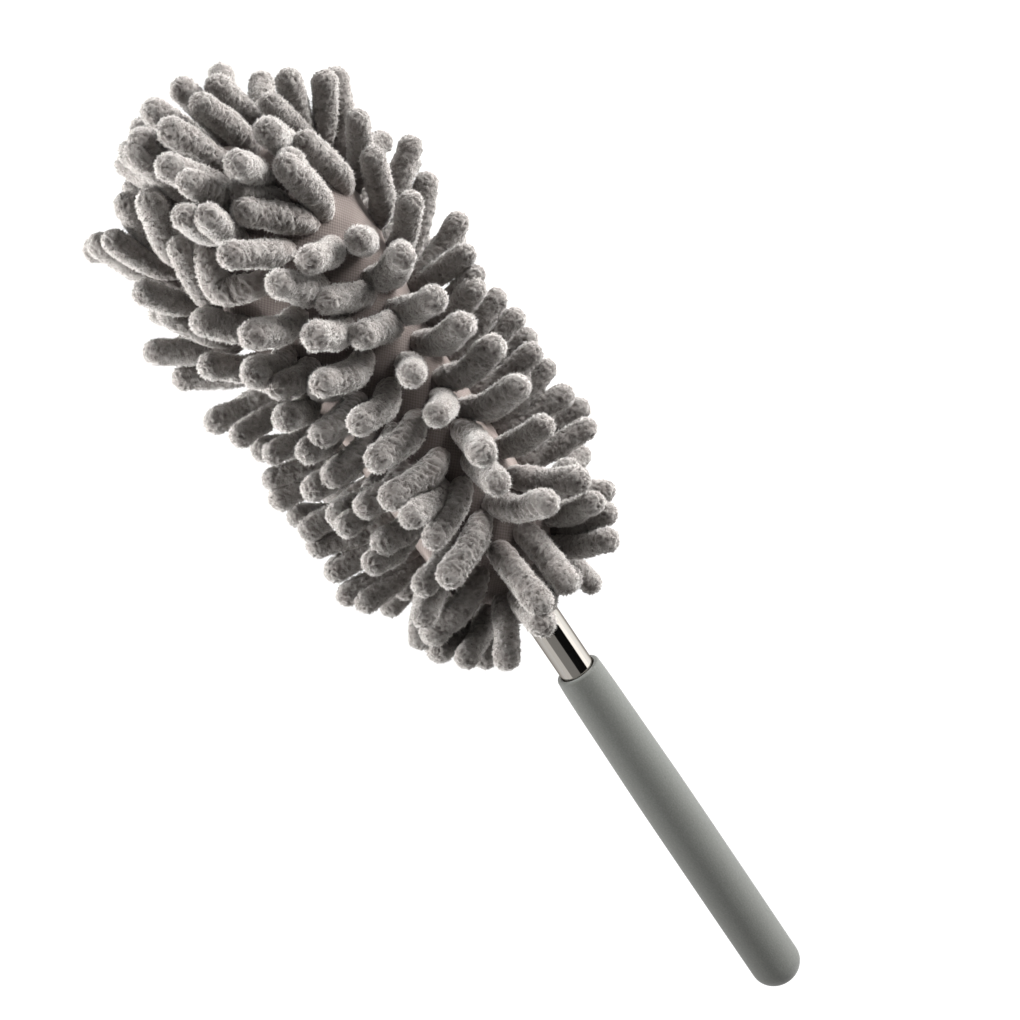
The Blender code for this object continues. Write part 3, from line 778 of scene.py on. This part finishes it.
def pile_on(verts, normals, ridge_and_painted_shade, along, seed):
    """Short tufts and finer fibres standing on a finger, each one a narrow spike with
    three sides: points, normals, colour levels with painted shade and highlight, and along values, four for each spike."""
    r = np.random.default_rng(seed)
    count = TUFTS + FIBRES
    fine = (np.arange(count) >= TUFTS)[:, None]
    rings = BODY_RINGS + CAP_RINGS - 1
    grid = np.arange(rings * SEGS).reshape(rings, SEGS)
    a, b = grid[3:-1], np.roll(grid[3:-1], -1, 1)
    c, d = np.roll(grid[4:], -1, 1), grid[4:]
    quads = np.stack([a, b, c, d], -1).reshape(-1, 4)
    e1, e2 = verts[quads[:, 1]] - verts[quads[:, 0]], verts[quads[:, 3]] - verts[quads[:, 0]]
    area = np.linalg.norm(np.cross(e1, e2), axis=1)
    area = area * (0.35 + 0.65 * smooth(along[quads[:, 0]] / 0.45))
    q = quads[r.choice(len(quads), count, p=area / area.sum())]
    u, v = r.random((2, count, 1))
    w = [(1 - u) * (1 - v), u * (1 - v), u * v, (1 - u) * v]
    base = sum(k * verts[q[:, i]] for i, k in enumerate(w))
    n = sum(k * normals[q[:, i]] for i, k in enumerate(w))
    n /= np.linalg.norm(n, axis=1)[:, None]
    cr = sum(k[:, 0] * ridge_and_painted_shade[q[:, i]] for i, k in enumerate(w))
    al = sum(k[:, 0] * along[q[:, i]] for i, k in enumerate(w))
    off = np.array([seed % 613, seed % 577, seed % 541], float)
    comb = np.stack([gradient_noise(base / 1.15 + off, k) for k in (41, 43, 47)], -1) * 2.0
    way = n + 0.12 * comb + r.normal(0, 0.34, (count, 3))
    way /= np.linalg.norm(way, axis=1)[:, None]
    grow = (0.6 + 0.4 * smooth(al / 0.4))[:, None]
    long = np.where(fine, r.uniform(0.60, 1.20, (count, 1)), r.uniform(0.46, 0.74, (count, 1))) * grow
    wide = np.where(fine, r.uniform(0.04, 0.07, (count, 1)), r.uniform(0.18, 0.29, (count, 1)))
    across = np.cross(way, r.normal(0, 1, (count, 3)))
    across /= np.linalg.norm(across, axis=1)[:, None]
    third = np.cross(way, across)
    start = base - n * 0.10
    feet = [start + wide * (across * math.cos(t) + third * math.sin(t)) for t in (0.0, 2.0944, 4.1888)]
    spike = np.stack(feet + [start + way * long], 1)
    steep = np.where(fine, 0.9, 1.7)
    out = [n + steep * (foot - start) / wide for foot in feet] + [n + 1.2 * way]
    out = np.stack([o / np.linalg.norm(o, axis=1)[:, None] for o in out], 1)
    # Painted shade and highlight on the spikes: the feet of the tufts are darker and every tip is lighter. The random
    # part of the tone is real variation.
    lift = np.where(fine, 0.02, -0.30)
    tone = np.concatenate([np.repeat(cr[:, None] + lift, 3, 1), cr[:, None] + lift + 0.60], 1) + r.normal(0, 0.27, (count, 1))
    return spike.reshape(-1, 3), out.reshape(-1, 3), np.clip(tone, 0, 1).reshape(-1), np.repeat(al, 4)


def finger_faces():
    rings = BODY_RINGS + CAP_RINGS - 1
    faces = []
    for i in range(rings - 1):
        for j in range(SEGS):
            k = (j + 1) % SEGS
            faces.append((i * SEGS + j, i * SEGS + k, (i + 1) * SEGS + k, (i + 1) * SEGS + j))
    pole, top = rings * SEGS, (rings - 1) * SEGS
    for j in range(SEGS):
        faces.append((top + j, top + (j + 1) % SEGS, pole))
    faces.append(tuple(range(SEGS - 1, -1, -1)))
    return faces


def build_fingers():
    fingers = solve_fingers()
    faces = np.array([f for f in finger_faces() if len(f) == 4])
    caps = [f for f in finger_faces() if len(f) != 4]
    made = {}
    for f in fingers:
        rest_on_table(f)
        verts, ridge_and_painted_shade, along, pile = finger_mesh(f)
        pts, fibres = world(verts), world(pile[0])
        fib_n = pile[1] @ np.stack([AX, UP, SIDE])
        floor = 0.00006
        low = pts[:, 2] < floor
        pts[low, 2] = floor + 0.00004 * (ridge_and_painted_shade[low] - 0.5)
        fibres[:, 2] = np.maximum(fibres[:, 2], floor * 0.5)
        made.setdefault(f["row"], []).append((pts, ridge_and_painted_shade, along, fibres, fib_n, pile[2], pile[3]))
    for row, parts in sorted(made.items()):
        n, k = len(parts[0][0]), len(parts)
        solid = np.concatenate([p[0] for p in parts])
        loose = np.concatenate([p[3] for p in parts])
        # which way round the faces run
        q = faces[SEGS * 30]
        face_n = np.cross(parts[0][0][q[1]] - parts[0][0][q[0]], parts[0][0][q[3]] - parts[0][0][q[0]])
        middle = parts[0][0][SEGS * 30:SEGS * 31].mean(0)
        flip = face_n @ (parts[0][0][q[0]] - middle) < 0
        polys = []
        for m in range(k):
            polys += [tuple(int(v) for v in (face[::-1] if flip else face)) for face in faces + m * n]
            polys += [tuple(i + m * n for i in (face[::-1] if flip else face)) for face in caps]
        first = len(solid)
        spikes = np.arange(len(loose) // 4)[:, None] * 4 + first
        for sides in ((1, 0, 3), (2, 1, 3), (0, 2, 3)):
            polys += (spikes + np.array(sides)).tolist()
        name = "fingers_row_%02d" % (row + 1)
        mesh = bpy.data.meshes.new(name)
        mesh.from_pydata(np.concatenate([solid, loose]).tolist(), [], polys)
        for label, a, b in (("ridge_and_painted_shade", 1, 5), ("along", 2, 6)):
            att = mesh.attributes.new(label, "FLOAT", "POINT")
            values = np.concatenate([p[a] for p in parts] + [p[b] for p in parts]).astype(np.float32)
            att.data.foreach_set("value", values)
        mesh.shade_smooth()
        mesh.update()
        own = np.zeros((len(mesh.vertices), 3), np.float32)
        own[first:] = np.concatenate([p[4] for p in parts])
        mesh.normals_split_custom_set_from_vertices(own.tolist())
        mesh.materials.append(MAT_CHENILLE)
        obj = bpy.data.objects.new(name, mesh)
        bpy.context.scene.collection.objects.link(obj)
        node = "finger_row_%02d" % (row + 1)
        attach(obj, [b for b, ns in frame["record"]["behaviour"]["bodies"].items() if node in ns][0])
        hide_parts(node)
        if row == len(ROWS) - 1:
            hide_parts("finger_tip")
    return fingers


# ------------------------------------------------------------------ round pieces
def revolve(name, loop, segs, mat, closed=True, drift=None, bulge=None, knit=False, sharp=38.0):
    """Turn a profile of (s, r) about the rod's axis."""
    mesh = bpy.data.meshes.new(name)
    verts, rings = [], []
    phis = np.linspace(0, 2 * math.pi, segs, endpoint=False)
    for s, r in loop:
        off = float(drift(s)) if drift else 0.0
        if r <= 1e-6:
            verts.append((s, 0.0, off))
            rings.append([len(verts) - 1])
            continue
        ids = []
        for phi in phis:
            rr = r + (bulge(s, phi, r) if bulge else 0.0)
            verts.append((s, rr * math.cos(phi), rr * math.sin(phi) + off))
            ids.append(len(verts) - 1)
        rings.append(ids)
    pairs = list(zip(rings[:-1], rings[1:]))
    if closed and len(rings[0]) > 1 and len(rings[-1]) > 1:
        pairs.append((rings[-1], rings[0]))
    faces, where = [], []
    for n, (a, b) in enumerate(pairs):
        if len(a) == 1 and len(b) == 1:
            continue
        for j in range(segs):
            k = (j + 1) % segs
            if len(a) == 1:
                faces.append((a[0], b[k], b[j]))
            elif len(b) == 1:
                faces.append((a[j], a[k], b[0]))
            else:
                faces.append((a[j], a[k], b[k], b[j]))
            where.append((n, j))
    mesh.from_pydata([tuple(p) for p in world(np.array(verts))], [], faces)
    if knit:
        arc = np.concatenate([[0], np.cumsum([math.hypot(q[0] - p[0], q[1] - p[1]) for p, q in zip(loop[:-1], loop[1:])])])
        mean = max(p[1] for p in loop)
        uv = mesh.uv_layers.new(name="knit")
        data = np.zeros((len(mesh.loops), 2), np.float32)
        ring_of = {}
        for n, ids in enumerate(rings):
            for j, i in enumerate(ids):
                ring_of[i] = (n, j)
        li = 0
        for face, (n, j) in zip(faces, where):
            for v in face:
                ring, jj = ring_of[v]
                turn = jj if jj >= j else jj + segs
                if len(rings[ring]) == 1:
                    turn = j + 0.5
                data[li] = (arc[ring] + loop[0][0], mean * 2 * math.pi * turn / segs)
                li += 1
        uv.data.foreach_set("uv", data.ravel())
    bm = bmesh.new()
    bm.from_mesh(mesh)
    bmesh.ops.recalc_face_normals(bm, faces=bm.faces)
    bm.to_mesh(mesh)
    bm.free()
    mesh.shade_smooth()
    mesh.set_sharp_from_angle(angle=math.radians(sharp))
    mesh.materials.append(mat)
    obj = bpy.data.objects.new(name, mesh)
    bpy.context.scene.collection.objects.link(obj)
    return obj


def arc_points(cs, cr, radius, a0, a1, n):
    """Points of a fillet in (s, r), angles in degrees from +s towards +r."""
    return [
        (cs + radius * math.cos(math.radians(a0 + (a1 - a0) * k / n)), cr + radius * math.sin(math.radians(a0 + (a1 - a0) * k / n)))
        for k in range(n + 1)
    ]


def build_grip():
    loop = [(0.0, 0.0)]
    for k in range(1, 25):
        a = math.pi / 2 * k / 24
        loop.append((6.2 * (1 - math.cos(a)), 7.0 * math.sin(a)))
    keys = [(6.2, 7.0), (30.0, 7.0), (45.0, 6.98), (57.0, 6.95), (71.0, 6.88), (90.0, 6.60), (101.0, 6.45), (107.5, 6.30), (110.4, 6.16), (111.0, 6.10)]
    for s in np.arange(8.0, 111.0, 2.0):
        loop.append((float(s), float(np.interp(s, [k[0] for k in keys], [k[1] for k in keys]))))
    loop += arc_points(111.35, 5.46, 0.62, 88, 2, 8)
    loop += [(111.97, 5.0), (111.7, 4.88), (111.2, 4.8), (60.0, 4.8), (6.0, 4.8), (6.0, 0.0)]
    obj = revolve("grip_sleeve_soft", loop, 96, MAT_GRIP, closed=False)
    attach(obj, "grip")
    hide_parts("grip_sleeve")


def build_tubes():
    stages = (("rod_tube_1", 4.7, 7.0, 132.5, 4.1, "grip"), ("rod_tube_2", 4.0, 14.0, 133.7, 3.4, "stage_2"),
              ("rod_tube_3", 3.3, 16.0, 134.9, 2.7, "stage_3"), ("rod_tube_4", 2.6, 18.0, 136.1, 2.0, "stage_4"),
              ("rod_tube_5", 1.9, 20.0, 152.0, None, "stage_5"))
    for name, ro, low, high, lip, body in stages:
        ri = ro - 0.3
        loop = [(low, ri + 0.06), (low + 0.06, ro)]
        loop += [(float(s), ro) for s in np.linspace(low + 1, high - 0.55, 26)]
        loop += arc_points(high - 0.34, ro - 0.34, 0.34, 90, 0, 7)
        if lip:
            loop += [(high, lip + 0.12), (high - 0.1, lip + 0.03), (high - 0.3, lip), (high - 0.8, lip), (high - 1.1, ri)]
        else:
            loop += [(high, ri + 0.05), (high - 0.05, ri)]
        loop += [(low + 0.1, ri)]
        obj = revolve(name + "_polished", loop, 96, MAT_STEEL)
        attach(obj, body)
        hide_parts(name)


def build_cuff():
    def ribs(s, phi, r):
        return 0.10 * math.sin(phi * 56) * (1.0 if r > 8.3 else 0.2)

    loop = [(134.0, 7.95), (134.0, 8.35)] + arc_points(134.5, 8.3, 0.5, 180, 90, 6)
    loop += [(float(s), 8.8) for s in np.linspace(134.9, 139.2, 7)]
    loop += arc_points(139.3, 8.3, 0.5, 90, 0, 6) + [(139.8, 7.95)]
    obj = revolve("knit_cuff", loop, 168, MAT_KNIT, bulge=ribs, knit=True, sharp=60)
    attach(obj, "stage_5")
    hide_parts("sleeve_cuff")


HINGES = (161.6, 182.4, 203.2, 224.0, 244.8)
ZONES = ((140.0, 172.0), (172.0, 192.8), (192.8, 213.6), (213.6, 234.4), (234.4, 274.0))


def blend_zone(obj, z):
    h = HINGES[z]
    a = world(np.array([h - 10.2, 0.0, 0.0]))
    b = world(np.array([h + 10.2, 0.0, 0.0]))
    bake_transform(obj)


def build_core(fingers):
    roots = np.array([f["root"] for f in fingers])

    def tent(s, phi, r):
        """The cloth is pulled up a little where each finger is sewn on."""
        p = np.array([s, r * math.cos(phi), r * math.sin(phi) + float(core_drift(s))])
        d = np.linalg.norm(roots - p, axis=1).min()
        return 0.85 * math.exp(-((d / 3.1) ** 2)) - 0.10

    top = 273.5
    steps = list(np.arange(140.0, 262.0, 0.8)) + [263.5, 265, 266.5, 268, 269.3, 270.4, 271.3, 272.1, 272.7, 273.2, 273.4]
    bounds = [z[1] for z in ZONES[:-1]]
    steps = sorted(set([float(round(s, 3)) for s in steps] + bounds))
    for z, (lo, hi) in enumerate(ZONES):
        ss = [s for s in steps if lo <= s <= hi]
        outer = [(s, float(core_radius(s))) for s in ss]
        inner = [(s, max(float(core_radius(s)) - 0.45, 0.05)) for s in ss]
        if z == len(ZONES) - 1:
            loop = outer + [(top, 0.0)]
            inner = [p for p in inner if p[1] > 1.0 and p[0] < 272.3] + [(272.9, 0.0)]
            loop = inner[::-1] + outer + [(top, 0.0)]
        else:
            loop = outer + inner[::-1]
        obj = revolve("knit_sleeve_%d" % (z + 1), loop, 150, MAT_KNIT, closed=z != len(ZONES) - 1, drift=core_drift, bulge=tent, knit=True, sharp=70)
        arc = sum(math.hypot(q[0] - p[0], q[1] - p[1]) for p, q in zip(outer[:-1], outer[1:]))
        blend_zone(obj, z)
        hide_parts("sleeve_cloth")

    foam_s = (161.0, 162.5, 165.0, 205.0, 225.0, 240.0, 250.0, 257.0, 261.0, 263.0)
    foam_r = (11.0, 13.6, 15.0, 15.2, 17.6, 19.6, 20.6, 19.4, 16.6, 13.2)
    for z, (lo, hi) in enumerate(ZONES):
        lo, hi = max(lo, 161.0), min(hi, 263.0)
        ss = [lo] + [s for s in np.arange(162.0, 263.0, 2.0) if lo + 0.4 < s < hi - 0.4] + [hi]
        loop = [(float(s), float(np.interp(s, foam_s, foam_r))) for s in ss] + [(float(s), 1.8) for s in ss[::-1]]
        obj = revolve("foam_core_%d" % (z + 1), loop, 64, MAT_FOAM, drift=lambda s: 0.6 * core_drift(s), sharp=50)
        blend_zone(obj, z)
        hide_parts("core_foam")
        lo, hi = max(ZONES[z][0], 154.4), min(ZONES[z][1], 265.0)
        ss = [lo] + [s for s in np.arange(155.0, 264.9, 1.5) if lo + 0.4 < s < hi - 0.4] + [hi]
        loop = [(lo, 0.0)] + [(float(s), 1.6) for s in ss] + [(hi, 0.0)]
        obj = revolve("wire_core_%d" % (z + 1), loop, 28, MAT_WIRE, closed=False)
        blend_zone(obj, z)
        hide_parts("core_wire")


def dress_cad():
    """Give the CAD nodes that stay their materials."""
    wear = {
        "friction_sleeve_2": MAT_NYLON, "friction_sleeve_3": MAT_NYLON, "friction_sleeve_4": MAT_NYLON,
        "friction_sleeve_5": MAT_NYLON, "tube_end_plug": MAT_BLACK, "head_socket": MAT_BLACK,
        "wire_tip_cap": MAT_BLACK, "cuff_elastic": MAT_ELASTIC,
    }
    for name, mat in wear.items():
        node = frame["nodes"][name]
        node.data.materials.clear()
        node.data.materials.append(mat)


# ------------------------------------------------------------------ studio
def build_floor():
    me = bpy.data.meshes.new("floor")
    size = 9.0
    me.from_pydata([(-size, -size, 0), (size, -size, 0), (size, size, 0), (-size, size, 0)], [], [(0, 1, 2, 3)])
    floor = bpy.data.objects.new("floor", me)
    bpy.context.scene.collection.objects.link(floor)
    mat, nt, bsdf = new_material("floor_white")
    bsdf.inputs["Base Color"].default_value = (0.10, 0.10, 0.10, 1.0)
    bsdf.inputs["Roughness"].default_value = 1.0
    bsdf.inputs["Specular IOR Level"].default_value = 0.0
    sep = add(nt, "ShaderNodeSeparateXYZ")
    nt.links.new(object_coords(nt), sep.inputs[0])
    t = add(nt, "ShaderNodeMapRange", interpolation_type="SMOOTHSTEP")
    t.inputs["From Min"].default_value = -0.015
    t.inputs["From Max"].default_value = -0.045
    t.inputs["To Min"].default_value = FLOOR_LEFT
    t.inputs["To Max"].default_value = FLOOR_RIGHT
    nt.links.new(sep.outputs["Y"], t.inputs["Value"])
    bsdf.inputs["Emission Color"].default_value = (1.0, 1.0, 1.0, 1.0)
    nt.links.new(t.outputs["Result"], bsdf.inputs["Emission Strength"])
    me.materials.append(mat)


def build_world():
    w = bpy.data.worlds.new("studio")
    bpy.context.scene.world = w
    w.use_nodes = True
    nt = w.node_tree
    bg = nt.nodes["Background"]
    gen = add(nt, "ShaderNodeTexCoord").outputs["Generated"]
    sep = add(nt, "ShaderNodeSeparateXYZ")
    nt.links.new(gen, sep.inputs[0])
    minus_y = maths(nt, "MULTIPLY", sep.outputs["Y"], -1.0)
    psi = maths(nt, "ARCTAN2", minus_y, sep.outputs["Z"])
    fac = maths(nt, "ADD", maths(nt, "DIVIDE", psi, math.pi), 0.5)

    def at(deg):
        return (deg + 90.0) / 180.0

    stops = []
    for deg, value in WORLD_BANDS:
        v = value / WORLD_SCALE
        stops.append((at(deg), (v, v * 0.985, v * 0.96)))
    bands = ramp(nt, fac, stops)
    level = maths(nt, "ABSOLUTE", sep.outputs["X"])
    mask = add(nt, "ShaderNodeMapRange", interpolation_type="SMOOTHSTEP")
    mask.inputs["From Min"].default_value = 0.55
    mask.inputs["From Max"].default_value = 0.78
    nt.links.new(level, mask.inputs["Value"])
    end = WORLD_ENDS / WORLD_SCALE
    col = mix_colour(nt, mask.outputs["Result"], bands, (end, end, end))
    nt.links.new(col, bg.inputs["Color"])
    bg.inputs["Strength"].default_value = WORLD_SCALE


def softbox(name, pos, target, size, energy, colour=(1.0, 1.0, 1.0), spread=180.0):
    data = bpy.data.lights.new(name, "AREA")
    data.shape = "RECTANGLE"
    data.size, data.size_y = size
    data.energy = energy
    data.color = colour
    data.spread = math.radians(spread)
    obj = bpy.data.objects.new(name, data)
    bpy.context.scene.collection.objects.link(obj)
    obj.location = pos
    obj.rotation_euler = (Vector(target) - Vector(pos)).to_track_quat("-Z", "Y").to_euler()
    return obj


FLOOR_LEFT, FLOOR_RIGHT = 1.05, 1.9
WORLD_SCALE = 4.0
WORLD_ENDS = 1.2
WORLD_BANDS = (
    (-90.0, 1.10), (-61.0, 1.10), (-57.0, 0.40), (1.0, 0.38), (4.0, 0.010), (63.0, 0.008), (66.0, 2.4), (90.0, 2.4),
)

build_floor()
build_world()
softbox("head_box", (0.80, 0.20, 0.55), (0.05, 0.0, 0.04), (0.6, 0.6), 0.7)
softbox("left_box", (0.18, 0.42, 0.12), (0.09, 0.0, 0.04), (0.20, 0.16), 0.66, spread=60.0)
softbox("right_box", (0.28, -0.75, 0.24), (0.0, 0.0, 0.03), (0.5, 0.24), 16.5)

dress_cad()
build_grip()
build_tubes()
build_cuff()
fingers = build_fingers()
build_core(fingers)

scene = bpy.context.scene
scene.view_settings.view_transform = "Standard"
scene.view_settings.look = "None"
